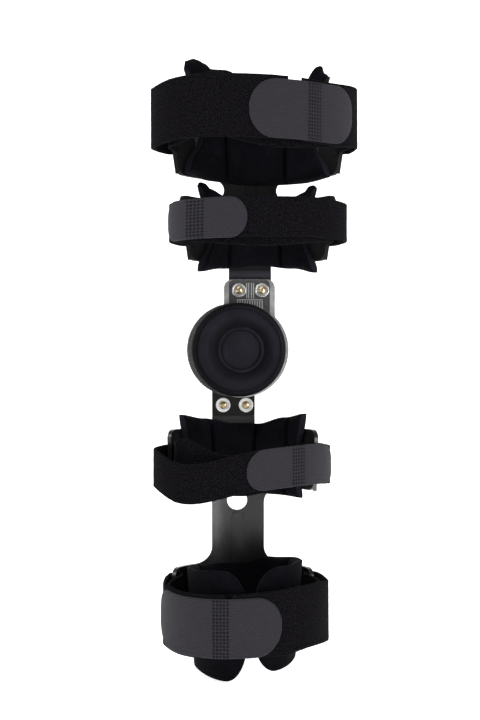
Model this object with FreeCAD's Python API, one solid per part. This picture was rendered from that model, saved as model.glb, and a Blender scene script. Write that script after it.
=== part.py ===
import FreeCAD, Part
import math
import os
from FreeCAD import Vector

# A knee brace with one hinge, worn along the outer side of a left leg. Millimetres.
# Origin: on the hinge axis. X: towards the front of the leg. Y: out of the leg. Z: up.
# The hinge and its arms lie near Y = 0. The leg, the cuffs and the straps are on the -Y side.

# Hinge stack, by depth along Y
CALF_ARM_Y = (-1.5, 1.5)
THIGH_ARM_Y = (2.0, 5.0)
INNER_PLATE_Y = (-6.5, -2.0)
INSERT_Y = (-8.5, -6.5)
THIGH_SHELL_Y = (-1.5, 2.0)
CALF_SHELL_Y = (1.5, 4.8)
COVER_Y = (5.0, 16.4)
COVER_WALL = 2.4
SLIDER_Y = (5.3, 10.3)

# Hinge, seen along Y
HOUSING_R = 41.6
THIGH_DISC_R = 38.0
CALF_DISC_R = 32.0
PIVOT_R = 5.0
PIVOT_HEAD_R = 9.0
PIVOT_HEAD_H = 1.8
CAP_R = 13.0
CAP_H = 3.0
CAP_RECESS = (4.2, 1.2)
DIAL_R = (21.5, 24.5)
DIAL_H = 0.7
TICK_EVERY_DEG = 10
TICK_SIZE = (0.7, 0.4, 2.4)
BUSH_R = 7.0
RUN_CLEAR = 0.03
THRUST_R = 10.0
PIN_R = 2.5
PIN_CLEAR = 0.3
PIN_TRACK_R = 25.0
BUTTON_TRACK_R = 32.5
BUTTON_R = 4.0
BUTTON_TRAVEL = 2.5
SLIDER_SIZE = (13.0, 18.0)
SLIDER_MID_R = 28.5
SLOT_PLAY = 0.5
FLEXION_DEG = 90.0
FLEXION_ADJUST_DEG = 30.0
EXTENSION_ADJUST_DEG = 10.0
TRACK_HALF_DEG = 100.0

# Arms and their screws, seen along Y
THIGH_ARM_X = 8.0
THIGH_ARM_W = 34.0
THIGH_ARM_TOP = 152.0
PLATE_X = 7.3
PLATE_W = 44.6
PLATE_TOP = 61.6
RAIL_W = 4.4
TONGUE_W = 37.2
CALF_ARM_X = -6.7
CALF_ARM_W = 37.6
CALF_ARM_END = -57.5
SCREW_PITCH = 20.0
THIGH_SCREW_Z = 52.2
CALF_SCREW_Z = -48.3
SCREW_R = 2.5
WASHER_R = 6.3
NECK_RIVET_X = 8.3
NECK_RIVET_Z = 140.0
RECESS_R = 5.2
RECESS_FLOOR_Y = -0.2
WASHER_H = 1.6
WASHER_RIM = 1.5
WASHER_BASE = 0.7
SCREW_HEAD_R = 3.6
SCREW_DOME_R = 4.6
SCREW_DOME_H = 2.1
SOCKET_HALF = 1.2
NUT_R = 4.6
NUT_H = 3.0

# Shells: each is a conical half wrap whose back line stands on its arm
SHELL_T = 3.5
WING_DEG = 70.0
THIGH_X = 14.0
THIGH_Z = (76.0, 221.0)
THIGH_R = (63.0, 84.75)
THIGH_GAP_Z = (131.0, 148.0)
THIGH_NECK_X = (-15.0, 31.0)
CALF_X = 1.5
CALF_Z = (-248.0, -68.0)
CALF_R = (62.5, 68.5)
CALF_GAP_Z = (-186.0, -120.0)
CALF_NECK_X = (-25.5, 20.2)
CALF_HOLE_Z = -132.0
CALF_HOLE_R = 8.8
CALF_BOSS_Z = -147.0
CALF_NECK_MID_X = -3.5

# Slots in the wing tips
TIP_CORNER_R = 9.0
TIP_BAR = 6.0
SLOT_W = 4.6
SLOT_EXTRA_H = 3.0
CUT_REACH = 8.0
EYE_IN = 4.1
EYE_OUT = 6.6

# Straps: centre height, width, centre X, half width, half depth, front Y,
# and the tab's start and end in degrees from the front, and its width
STRAP_T = 5.0
STRAPS = {
    "strap_thigh_upper": (190.0, 50.0, 9.0, 81.5, 60.0, -122.0, (-3.0, 64.0, 46.5)),
    "strap_thigh_lower": (104.0, 32.0, 14.0, 71.5, 56.0, -115.0, (-80.0, -7.0, 32.5)),
    "strap_calf_upper": (-96.0, 32.0, 0.5, 71.0, 55.0, -115.0, (3.0, 80.0, 32.5)),
    "strap_calf_lower": (-215.0, 50.0, 3.5, 66.5, 60.0, -124.0, (-84.0, 24.0, 46.5)),
}
TAB_T = 1.6
STRAP_SWEEP_DEG = 88.0

# Liners: bottom, top, half angle at the bottom and at the top
LINER_T = 8.0
LINER_GAP = 1.6
FULL_WRAP_INSET = 1.8
HOOK_DEG = (26.0, 46.0)
HOOK_H = 25.0
LINERS = {
    "liner_thigh_upper": (139.0, 236.0, 66.0, 50.0),
    "liner_thigh_lower": (64.5, 138.0, 65.0, 50.0),
    "liner_calf_upper": (-126.0, -59.5, 54.0, 58.0),
    "liner_calf_lower": (-262.0, -173.0, 172.0, 172.0),
}
# The two front flaps of the lowest liner: free end's X, heights, corner radius
FLAPS = (
    (-1, 5.5, (-261.0, -175.0), 41.0),
    (1, 8.0, (-251.0, -173.0), 37.0),
)

# Condyle pad
PAD_R = 40.4
PAD_X = -2.0
PAD_BASE_R = 41.0
PAD_BASE_X = -6.5
PAD_BASE_Y = (-21.0, -10.2)
PAD_FRONT_Y = -33.0
PAD_RING_R = (16.6, 19.4)


def box(x, y, z):
    size = (x[1] - x[0], y[1] - y[0], z[1] - z[0])
    return Part.makeBox(*size, Vector(x[0], y[0], z[0]))


def cyl(x, z, radius, y):
    """A cylinder along Y."""
    return Part.makeCylinder(radius, y[1] - y[0], Vector(x, y[0], z), Vector(0, 1, 0))


def ring(x, z, outer, inner, y):
    return cyl(x, z, outer, y).cut(cyl(x, z, inner, y))


def around(radius, degrees, y=0.0):
    """A point round the hinge axis, by its angle from +Z towards +X."""
    a = math.radians(degrees)
    return Vector(radius * math.sin(a), y, radius * math.cos(a))


def rounded(shape, radius, direction):
    """Rounds every straight edge that runs along a direction."""
    edges = []
    for edge in shape.Edges:
        ends = [v.Point for v in edge.Vertexes]
        if len(ends) == 2:
            run = ends[1].sub(ends[0])
            if run.Length > 0 and abs(abs(run.dot(direction)) - run.Length) < 1e-6:
                edges.append(edge)
    return shape.makeFillet(radius, edges)


def plate(x, y, z, corner):
    return rounded(box(x, y, z), corner, Vector(0, 1, 0))


def centred(middle, width):
    return (middle - width / 2, middle + width / 2)


def rim_at(shape, y):
    """The edges that lie in the plane at one depth."""
    return [e for e in shape.Edges
            if abs(e.BoundBox.YMin - y) < 1e-6 and abs(e.BoundBox.YMax - y) < 1e-6]


def arc_slot(radius, width, start, stop, y):
    """A slot of constant width that bends round the hinge axis, with round ends."""
    half = width / 2
    mid = (start + stop) / 2
    cap = math.degrees(half / radius)
    edges = [
        Part.Arc(around(radius + half, start, y[0]), around(radius + half, mid, y[0]),
                 around(radius + half, stop, y[0])),
        Part.Arc(around(radius + half, stop, y[0]), around(radius, stop + cap, y[0]),
                 around(radius - half, stop, y[0])),
        Part.Arc(around(radius - half, stop, y[0]), around(radius - half, mid, y[0]),
                 around(radius - half, start, y[0])),
        Part.Arc(around(radius - half, start, y[0]), around(radius, start - cap, y[0]),
                 around(radius + half, start, y[0])),
    ]
    face = Part.Face(Part.Wire([edge.toShape() for edge in edges]))
    return face.extrude(Vector(0, y[1] - y[0], 0))


def screw_places(x, z):
    return [(x - SCREW_PITCH / 2, z), (x + SCREW_PITCH / 2, z)]


THIGH_SCREWS = screw_places(8.2, THIGH_SCREW_Z)
CALF_SCREWS = screw_places(-5.7, CALF_SCREW_Z)


def bored(shape, places, radius, y):
    for x, z in places:
        shape = shape.cut(cyl(x, z, radius, y))
    return shape


# ---------------------------------------------------------------- shells

def shell_radius(z, heights, radii):
    share = (z - heights[0]) / (heights[1] - heights[0])
    return radii[0] + share * (radii[1] - radii[0])


def wrap_profile(x, back, outer, inner, sweep, z):
    """A curved strip in plan, on a circle that touches the back line at Y = back."""
    centre = Vector(x, back - outer, z)

    def at(radius, degrees):
        a = math.radians(degrees)
        return centre.add(Vector(radius * math.sin(a), radius * math.cos(a), 0))

    start, stop = sweep
    middle = (start + stop) / 2
    edges = [
        Part.Arc(at(outer, start), at(outer, middle), at(outer, stop)).toShape(),
        Part.makeLine(at(outer, stop), at(inner, stop)),
        Part.Arc(at(inner, stop), at(inner, middle), at(inner, start)).toShape(),
        Part.makeLine(at(inner, start), at(outer, start)),
    ]
    return Part.Wire(edges)


def wrap(x, back, heights, radii, z, inset, thickness, sweeps):
    """A conical wrap between two heights, set in from the shell's outer face."""
    wires = []
    for level, sweep in zip(z, sweeps):
        outer = shell_radius(level, heights, radii)
        wires.append(wrap_profile(x, back - inset, outer - inset,
                                  outer - inset - thickness, sweep, level))
    return Part.makeLoft(wires, True, True)


def wing_tip(x, back, radius, side):
    """The middle of a tip bar in plan, and the radial direction there."""
    mid = radius - SHELL_T / 2
    half_bar = math.degrees(TIP_BAR / 2 / mid)
    a = math.radians(side * (WING_DEG - half_bar))
    out = Vector(math.sin(a), math.cos(a), 0)
    return Vector(x, back - radius, 0).add(out.multiply(mid))


def slot_cutter(name, side):
    """A leaning block that cuts a strap slot through a wing, just behind its tip bar."""
    level, height = STRAPS[name][0], STRAPS[name][1] + SLOT_EXTRA_H
    x, back, heights, radii = shell_of(name)
    wires = []
    for z in (level - height / 2, level + height / 2):
        radius = shell_radius(z, heights, radii)
        mid = radius - SHELL_T / 2
        degrees = WING_DEG - math.degrees((TIP_BAR + SLOT_W / 2) / mid)
        corners = []
        for across, out in ((-1, -1), (1, -1), (1, 1), (-1, 1), (-1, -1)):
            corners.append(Vector(across * SLOT_W / 2, mid + out * CUT_REACH, 0))
        outline = Part.makePolygon(corners)
        outline.rotate(Vector(0, 0, 0), Vector(0, 0, 1), -side * degrees)
        outline.translate(Vector(x, back - radius, z))
        wires.append(outline)
    return Part.makeLoft(wires, True, True)


def side_window(neck_edge, outside, z, corner):
    """Cuts one side of the gap between two cuffs; its inner corners are round."""
    x = (min(neck_edge, outside), max(neck_edge, outside))
    return plate(x, (-90, 20), z, corner)


def shell_wings(x, back, heights, radii, gap, neck, gap_corner, straps):
    sweep = (-WING_DEG, WING_DEG)
    body = wrap(x, back, heights, radii, heights, 0, SHELL_T, (sweep, sweep))
    body = body.cut(side_window(neck[0], -130, gap, gap_corner))
    body = body.cut(side_window(neck[1], 130, gap, gap_corner))
    for name in straps:
        for side in (-1, 1):
            body = body.cut(slot_cutter(name, side))
    return body


def round_tips(shell, x, back, heights, radii, levels):
    """Rounds the corners of the wings with a cutter at each corner."""
    for level, up in levels:
        radius = shell_radius(level, heights, radii)
        foot = Vector(0, radius - SHELL_T / 2 - CUT_REACH, 0)
        r = TIP_CORNER_R
        for side in (-1, 1):
            square = Part.makeBox(r, 2 * CUT_REACH, r, foot)
            quarter = Part.makeCylinder(r, 2 * CUT_REACH, foot, Vector(0, 1, 0))
            corner = square.cut(quarter)
            if side < 0:
                corner = corner.mirror(Vector(0, 0, 0), Vector(1, 0, 0))
            if up < 0:
                corner = corner.mirror(Vector(0, 0, 0), Vector(0, 0, 1))
            corner.translate(Vector(-side * r, 0, level - up * r))
            corner.rotate(Vector(0, 0, 0), Vector(0, 0, 1), -side * WING_DEG)
            corner.translate(Vector(x, back - radius, 0))
            shell = shell.cut(corner)
    return shell


def thigh_shell():
    straps = ("strap_thigh_upper", "strap_thigh_lower")
    back = THIGH_SHELL_Y[1]
    corner = (THIGH_GAP_Z[1] - THIGH_GAP_Z[0]) / 2 - 0.1
    body = shell_wings(THIGH_X, back, THIGH_Z, THIGH_R, THIGH_GAP_Z,
                       THIGH_NECK_X, corner, straps)
    levels = [(THIGH_Z[1], 1), (THIGH_GAP_Z[1], -1), (THIGH_GAP_Z[0], 1), (THIGH_Z[0], -1)]
    body = round_tips(body, THIGH_X, back, THIGH_Z, THIGH_R, levels)
    tongue_x = centred(THIGH_ARM_X - 0.2, TONGUE_W)
    tongue = plate(tongue_x, THIGH_SHELL_Y, (44.0, 96.0), 3.0)
    step = box(tongue_x, (THIGH_SHELL_Y[0] - 1.6, THIGH_SHELL_Y[0]), (64.0, 68.0))
    body = body.fuse([tongue, step])
    body = body.cut(cyl(NECK_RIVET_X, NECK_RIVET_Z, RECESS_R, (-6.0, RECESS_FLOOR_Y)))
    body = bored(body, [(NECK_RIVET_X, NECK_RIVET_Z)], SCREW_R, (-8, 8))
    return bored(body, THIGH_SCREWS, SCREW_R, (-8, 8)).removeSplitter()


def calf_shell():
    straps = ("strap_calf_upper", "strap_calf_lower")
    back = CALF_SHELL_Y[1]
    body = shell_wings(CALF_X, back, CALF_Z, CALF_R, CALF_GAP_Z, CALF_NECK_X, 14.0, straps)
    levels = [(CALF_Z[1], 1), (CALF_GAP_Z[1], -1), (CALF_GAP_Z[0], 1), (CALF_Z[0], -1)]
    body = round_tips(body, CALF_X, back, CALF_Z, CALF_R, levels)
    tongue = plate(centred(CALF_ARM_X, CALF_ARM_W), CALF_SHELL_Y, (-86.0, -40.0), 3.0)
    ledge = box(centred(CALF_ARM_X, CALF_ARM_W), (CALF_SHELL_Y[0] - 1.6, CALF_SHELL_Y[0]),
                (-62.0, CALF_ARM_END - 0.3))
    boss = cyl(CALF_NECK_MID_X, CALF_BOSS_Z, 4.4, (-0.2, 3.0))
    body = body.fuse([tongue, ledge, boss])
    for x in (CALF_NECK_MID_X - 5.6, CALF_NECK_MID_X + 5.6):
        rib = box((x - 0.6, x + 0.6), (0.3, 2.4), (CALF_GAP_Z[0] + 2, CALF_HOLE_Z - 12))
        body = body.fuse(rib)
    body = body.cut(cyl(CALF_NECK_MID_X, CALF_HOLE_Z, CALF_HOLE_R, (-20, 20)))
    return bored(body, CALF_SCREWS, SCREW_R, (-8, 8)).removeSplitter()


# ---------------------------------------------------------------- hinge

def inner_hinge_plate():
    """An aluminium plate under the pad: a round housing with an arm above it."""
    body = cyl(0, 0, HOUSING_R, INNER_PLATE_Y)
    arm_x = centred(PLATE_X, PLATE_W)
    arm = plate(arm_x, INNER_PLATE_Y, (0, PLATE_TOP), 7.0)
    body = body.fuse(arm)
    for x in (arm_x[0], arm_x[1] - RAIL_W):
        rail = plate((x, x + RAIL_W), (INSERT_Y[0] + 0.3, INNER_PLATE_Y[0]),
                     (20, PLATE_TOP - 7.0), 1.0)
        body = body.fuse(rail)
    body = body.cut(cyl(0, 0, PIVOT_R + RUN_CLEAR, INNER_PLATE_Y))
    seat = (INNER_PLATE_Y[0], INNER_PLATE_Y[0] + PIVOT_HEAD_H + 0.1)
    body = body.cut(cyl(0, 0, PIVOT_HEAD_R + 0.2, seat))
    return bored(body, THIGH_SCREWS, SCREW_R, INNER_PLATE_Y).removeSplitter()


def ribbed_insert():
    """The ribbed plastic facing between the rails of the plate's arm."""
    x = centred(PLATE_X, PLATE_W - 2 * RAIL_W - 0.2)
    body = plate(x, INSERT_Y, (24.0, PLATE_TOP - 0.6), 4.0)
    front = INSERT_Y[0]
    for rib_x in (4.9, 6.7, 9.1, 10.9):
        body = body.fuse(box((rib_x - 0.45, rib_x + 0.45), (front - 0.7, front), (45.0, 58.4)))
    body = body.fuse(box((-3.5, 19.0), (front - 0.5, front), (43.4, 44.2)))
    for step in range(11):
        rib_x = -3.5 + 0.5 + 2.15 * step
        body = body.fuse(box((rib_x - 0.5, rib_x + 0.5), (front - 0.6, front), (34.0, 43.0)))
    body = body.cut(cyl(0, 0, 31.0, (front - 1, INSERT_Y[1])))
    seat_y = (front - 1, INSERT_Y[1])
    return bored(body, THIGH_SCREWS, SCREW_R, seat_y).removeSplitter()


def thigh_arm():
    """A steel bar behind the shell; its disc carries the stops."""
    body = cyl(0, 0, THIGH_DISC_R, THIGH_ARM_Y)
    bar = plate(centred(THIGH_ARM_X, THIGH_ARM_W), THIGH_ARM_Y, (0, THIGH_ARM_TOP), 9.0)
    body = body.fuse(bar)
    body = body.cut(cyl(0, 0, PIVOT_R + RUN_CLEAR, THIGH_ARM_Y))
    for setting, travel in stop_travel().values():
        low, high = min(setting, setting + travel), max(setting, setting + travel)
        slot = arc_slot(PIN_TRACK_R, 2 * PIN_R + SLOT_PLAY, low, high, THIGH_ARM_Y)
        body = body.cut(slot)
    body = bored(body, [(NECK_RIVET_X, NECK_RIVET_Z)], SCREW_R, THIGH_ARM_Y)
    return bored(body, THIGH_SCREWS, SCREW_R, THIGH_ARM_Y).removeSplitter()


def calf_arm():
    """The black arm of the calf; its disc has the track that the stop pins limit."""
    body = cyl(0, 0, CALF_DISC_R, CALF_ARM_Y)
    arm = plate(centred(CALF_ARM_X, CALF_ARM_W), CALF_ARM_Y, (CALF_ARM_END, 0), 3.0)
    body = body.fuse(arm)
    body = body.cut(cyl(0, 0, BUSH_R, CALF_ARM_Y))
    pin_half = math.degrees((PIN_R + 0.15) / PIN_TRACK_R)
    start = -TRACK_HALF_DEG - pin_half + math.degrees(PIN_R / PIN_TRACK_R)
    stop = TRACK_HALF_DEG + pin_half - math.degrees(PIN_R / PIN_TRACK_R)
    body = body.cut(arc_slot(PIN_TRACK_R, 2 * PIN_R + SLOT_PLAY, start, stop, CALF_ARM_Y))
    return bored(body, CALF_SCREWS, SCREW_R, CALF_ARM_Y).removeSplitter()


def stop_travel():
    """Each stop's set angle, and how far it can be moved away from the other."""
    return {
        "flexion": (FLEXION_DEG - TRACK_HALF_DEG, FLEXION_ADJUST_DEG),
        "extension": (TRACK_HALF_DEG, -EXTENSION_ADJUST_DEG),
    }


def stop_slider(setting):
    """A sector that carries the stop pin and the bore of its button."""
    block = plate(centred(0, SLIDER_SIZE[0]), SLIDER_Y, centred(0, SLIDER_SIZE[1]), 3.0)
    block.rotate(Vector(0, 0, 0), Vector(0, 1, 0), setting)
    block.translate(around(SLIDER_MID_R, setting))
    pin_at = around(PIN_TRACK_R, setting)
    pin = cyl(pin_at.x, pin_at.z, PIN_R, (CALF_ARM_Y[0] + PIN_CLEAR, SLIDER_Y[0]))
    bore_at = around(BUTTON_TRACK_R, setting)
    bore = cyl(bore_at.x, bore_at.z, BUTTON_R - 0.45, SLIDER_Y)
    return block.fuse(pin).cut(bore).removeSplitter()


def stop_button(setting):
    at = around(BUTTON_TRACK_R, setting)
    head_y = (COVER_Y[1] - COVER_WALL - 0.1, COVER_Y[1] + BUTTON_TRAVEL)
    flange_y = (head_y[0] - 1.0, head_y[0])
    head = cyl(at.x, at.z, BUTTON_R, head_y)
    head = head.makeFillet(0.7, rim_at(head, head_y[1]))
    flange = cyl(at.x, at.z, BUTTON_R + 0.8, flange_y)
    stem = cyl(at.x, at.z, BUTTON_R - 0.5, (9.6, flange_y[0]))
    return head.fuse([flange, stem]).removeSplitter()


def stop_spring(setting):
    """A coil at the length it has under a pressed button."""
    at = around(BUTTON_TRACK_R, setting)
    wire_r = 0.2
    coil_r = 2.7
    pitch = 0.55
    turns = 2
    helix = Part.makeHelix(pitch, pitch * turns, coil_r)
    circle = Part.Wire(Part.makeCircle(wire_r, Vector(coil_r, 0, 0), Vector(0, 1, 0)))
    coil = Part.Wire(helix).makePipeShell([circle], True, True)
    coil.rotate(Vector(0, 0, 0), Vector(1, 0, 0), -90)
    coil.translate(Vector(at.x, SLIDER_Y[0] + 0.4, at.z))
    return coil


def outer_cover():
    """A round cup over the stops, with a window for each button."""
    body = cyl(0, 0, HOUSING_R, COVER_Y)
    body = body.makeFillet(2.0, rim_at(body, COVER_Y[1]))
    inside = (COVER_Y[0], COVER_Y[1] - COVER_WALL)
    body = body.cut(cyl(0, 0, HOUSING_R - COVER_WALL, inside))
    wall = (COVER_Y[1] - COVER_WALL, COVER_Y[1])
    for setting, travel in stop_travel().values():
        low, high = min(setting, setting + travel), max(setting, setting + travel)
        body = body.cut(arc_slot(BUTTON_TRACK_R, 2 * BUTTON_R + SLOT_PLAY, low, high, wall))
    body = body.cut(cyl(0, 0, PIVOT_R + RUN_CLEAR, wall))
    bar = box(centred(THIGH_ARM_X, THIGH_ARM_W + 0.4), THIGH_ARM_Y, (0, HOUSING_R + 1))
    return body.cut(bar).removeSplitter()


def dial_ring():
    """A raised ring of degree ticks round the middle of the cover."""
    y = (COVER_Y[1], COVER_Y[1] + DIAL_H)
    body = ring(0, 0, DIAL_R[1], DIAL_R[0], y)
    wide, high, long = TICK_SIZE
    for mark in range(0, 360, TICK_EVERY_DEG):
        tick = box(centred(0, wide), (y[1], y[1] + high), centred(0, long))
        tick.rotate(Vector(0, 0, 0), Vector(0, 1, 0), mark)
        tick.translate(around(sum(DIAL_R) / 2, mark))
        body = body.fuse(tick)
    return body.removeSplitter()


def pivot_pin():
    under_head = INNER_PLATE_Y[0] + PIVOT_HEAD_H
    head = cyl(0, 0, PIVOT_HEAD_R, (INNER_PLATE_Y[0], under_head))
    shank = cyl(0, 0, PIVOT_R, (under_head, COVER_Y[1]))
    return head.fuse(shank).removeSplitter()


def pivot_cap():
    top = COVER_Y[1] + CAP_H
    body = cyl(0, 0, CAP_R, (COVER_Y[1], top))
    body = body.makeFillet(1.2, rim_at(body, top))
    radius, depth = CAP_RECESS
    return body.cut(cyl(0, 0, radius, (top - depth, top)))


def pivot_bush():
    return ring(0, 0, BUSH_R, PIVOT_R + RUN_CLEAR, CALF_ARM_Y)


def thrust_washers():
    gap = 0.04
    inner = ring(0, 0, THRUST_R, PIVOT_R + RUN_CLEAR,
                 (INNER_PLATE_Y[1], CALF_ARM_Y[0] - gap))
    outer = ring(0, 0, THRUST_R, PIVOT_R + RUN_CLEAR,
                 (CALF_ARM_Y[1] + gap, THIGH_ARM_Y[0]))
    return Part.makeCompound([inner, outer])


# ---------------------------------------------------------------- fasteners

def cup_washer(x, z, seat):
    """A turned cup washer with a raised rim, its open side towards the leg."""
    rim = ring(x, z, WASHER_R, WASHER_R - WASHER_RIM, (seat - WASHER_H, seat))
    base = ring(x, z, WASHER_R - WASHER_RIM, SCREW_R, (seat - WASHER_BASE, seat))
    body = rim.fuse(base).removeSplitter()
    return body.makeFillet(0.6, rim_at(body, seat - WASHER_H))


def domed_screw(x, z, seat, end):
    under_head = seat - WASHER_BASE
    top = under_head - SCREW_DOME_H
    dome = Part.makeSphere(SCREW_DOME_R, Vector(x, top + SCREW_DOME_R, z))
    head = dome.common(cyl(x, z, SCREW_HEAD_R, (top, under_head)))
    width = 2 * SOCKET_HALF
    socket = plate(centred(x, width), (top - 1.0, under_head - 1.0), centred(z, width), 0.5)
    shank = cyl(x, z, SCREW_R, (under_head, end))
    return head.cut(socket).fuse(shank).removeSplitter()


def nut(x, z, seat, length):
    points = []
    for corner in range(7):
        a = math.radians(60 * corner)
        points.append(Vector(x + NUT_R * math.cos(a), seat, z + NUT_R * math.sin(a)))
    body = Part.Face(Part.makePolygon(points)).extrude(Vector(0, length, 0))
    return body.cut(cyl(x, z, SCREW_R, (seat, seat + length)))


def fasteners(places, seat, back):
    washers = [cup_washer(x, z, seat) for x, z in places]
    screws = [domed_screw(x, z, seat, back + NUT_H + 0.4) for x, z in places]
    nuts = [nut(x, z, back, NUT_H) for x, z in places]
    return [Part.makeCompound(group) for group in (washers, screws, nuts)]


def neck_rivet():
    x, z, back = NECK_RIVET_X, NECK_RIVET_Z, THIGH_ARM_Y[1]
    head = cyl(x, z, RECESS_R - 0.3, (RECESS_FLOOR_Y - 1.4, RECESS_FLOOR_Y))
    shank = cyl(x, z, SCREW_R, (RECESS_FLOOR_Y, back))
    tail = cyl(x, z, RECESS_R - 0.8, (back, back + 1.4))
    return head.fuse([shank, tail]).removeSplitter()


# ---------------------------------------------------------------- soft parts

def shell_of(name):
    if "thigh" in name:
        return THIGH_X, THIGH_SHELL_Y[1], THIGH_Z, THIGH_R
    return CALF_X, CALF_SHELL_Y[1], CALF_Z, CALF_R


def liner(name):
    bottom, top, low_deg, top_deg = LINERS[name]
    x, back, heights, radii = shell_of(name)
    full_wrap = low_deg > WING_DEG
    inset = SHELL_T + LINER_GAP + (FULL_WRAP_INSET if full_wrap else 0.0)
    sweeps = [(-degrees, degrees) for degrees in (low_deg, top_deg)]
    body = wrap(x, back, heights, radii, (bottom, top), inset, LINER_T, sweeps)
    if full_wrap:
        strap_name = name.replace("liner", "strap")
        for side in (-1, 1):
            body = body.cut(strap_eye(strap_name, side, EYE_OUT + 1.6, 2.0))
        body = body.cut(flap_cutter(back - radii[1], (bottom - 1, top + 1)))
    return body


def flap_cutter(front_of, z):
    """What is cut from the front of a full wrap to leave two flaps with round ends."""
    y = (front_of - 2 * CALF_R[1], front_of)
    cutter = box((-2 * CALF_R[1], 2 * CALF_R[1]), y, z)
    for side, end_x, heights, corner in FLAPS:
        x = sorted((end_x, side * 3 * CALF_R[1]))
        cutter = cutter.cut(plate(x, y, heights, corner))
    return cutter


def hook_patches(name):
    """Two strips of hook tape between a shell and its liner."""
    bottom, top = LINERS[name][:2]
    x, back, heights, radii = shell_of(name)
    middle = (max(bottom, heights[0]) + min(top, heights[1])) / 2
    strips = []
    for start in (-HOOK_DEG[1], HOOK_DEG[0]):
        sweep = (start, start + HOOK_DEG[1] - HOOK_DEG[0])
        strips.append(wrap(x, back, heights, radii, centred(middle, HOOK_H),
                           SHELL_T + 0.15, LINER_GAP - 0.3, (sweep, sweep)))
    return Part.makeCompound(strips)


def strap_eye(name, side, radius, extra):
    """A column round a wing's tip bar, leaning as the bar leans."""
    level, width = STRAPS[name][0], STRAPS[name][1]
    x, back, heights, radii = shell_of(name)
    wires = []
    for z in (level - width / 2 - extra, level + width / 2 + extra):
        tip = wing_tip(x, back, shell_radius(z, heights, radii), side)
        wires.append(Part.Wire(Part.makeCircle(radius, Vector(tip.x, tip.y, z))))
    return Part.makeLoft(wires, True, True)


def on_strap(name, offset, degrees):
    """A point on a strap's plan ellipse, by its angle from the front of the loop."""
    _, _, x, half_w, half_d, front, _ = STRAPS[name]
    a = math.radians(degrees)
    return Vector(x + (half_w + offset) * math.sin(a),
                  front + half_d - (half_d + offset) * math.cos(a), 0)


def strap_band(name, inner, outer, sweep, z):
    def edge(offset, first, last):
        steps = 8
        points = []
        for i in range(steps + 1):
            point = on_strap(name, offset, first + (last - first) * i / steps)
            points.append(Vector(point.x, point.y, z[0]))
        curve = Part.BSplineCurve()
        curve.interpolate(points)
        return curve.toShape()

    out = edge(outer, sweep[0], sweep[1])
    back = edge(inner, sweep[1], sweep[0])
    start = Part.makeLine(out.valueAt(out.LastParameter), back.valueAt(back.FirstParameter))
    close = Part.makeLine(back.valueAt(back.LastParameter), out.valueAt(out.FirstParameter))
    face = Part.Face(Part.Wire([out, start, back, close]))
    return face.extrude(Vector(0, 0, z[1] - z[0]))


def strap(name):
    """Doubled webbing round the front, with a loop round each wing's tip bar."""
    level, width = STRAPS[name][0], STRAPS[name][1]
    z = (level - width / 2, level + width / 2)
    x, back, heights, radii = shell_of(name)
    half = STRAP_T / 2
    body = strap_band(name, -half, half, (-STRAP_SWEEP_DEG, STRAP_SWEEP_DEG), z)
    holes = []
    for side in (-1, 1):
        end = on_strap(name, 0, side * STRAP_SWEEP_DEG)
        wires = []
        for edge_z in z:
            tip = wing_tip(x, back, shell_radius(edge_z, heights, radii), side)
            run = Vector(end.x - tip.x, end.y - tip.y, 0)
            across = Vector(-run.y, run.x, 0).normalize().multiply(half - 0.2)
            foot = Vector(tip.x, tip.y, edge_z)
            far = Vector(end.x, end.y, edge_z)
            corners = [foot.add(across), far.add(across), far.sub(across), foot.sub(across)]
            wires.append(Part.makePolygon(corners + [corners[0]]))
        link = Part.makeLoft(wires, True, True)
        knuckle = Part.makeCylinder(half + 0.3, width, Vector(end.x, end.y, z[0]))
        body = body.fuse([link, knuckle, strap_eye(name, side, EYE_OUT, 0.0)])
        holes.append(strap_eye(name, side, EYE_IN, 1.0))
    return body.cut(holes).removeSplitter()


def tab(name):
    """The hook tab that closes a strap, on the outer face of the webbing."""
    first, last, width = STRAPS[name][6]
    inner = STRAP_T / 2 + 0.2
    z = centred(STRAPS[name][0], width)
    return strap_band(name, inner, inner + TAB_T, (first, last), z)


def condyle_pad():
    """The moulded front of the pad, with a rim and a raised ring."""
    back = PAD_BASE_Y[0]
    body = cyl(PAD_X, 0, PAD_R, (PAD_FRONT_Y + 1.6, back))
    body = body.makeFillet(4.0, rim_at(body, PAD_FRONT_Y + 1.6))
    raised = ring(0, 0, PAD_RING_R[1], PAD_RING_R[0], (PAD_FRONT_Y, PAD_FRONT_Y + 2.0))
    return body.fuse(raised).removeSplitter()


def pad_base():
    return cyl(PAD_BASE_X, 0, PAD_BASE_R, PAD_BASE_Y)


def pad_hook_disc():
    """Hook tape glued on the plate; the pad's base clings to it."""
    y = (PAD_BASE_Y[1] + 0.1, INNER_PLATE_Y[0])
    body = cyl(-2.0, -6.0, 30.0, (y[0], y[1]))
    arm_clear = box((-60, 60), (y[0] - 1, y[1] + 1), (18.0, 60.0))
    return body.cut(arm_clear).removeSplitter()


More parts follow.
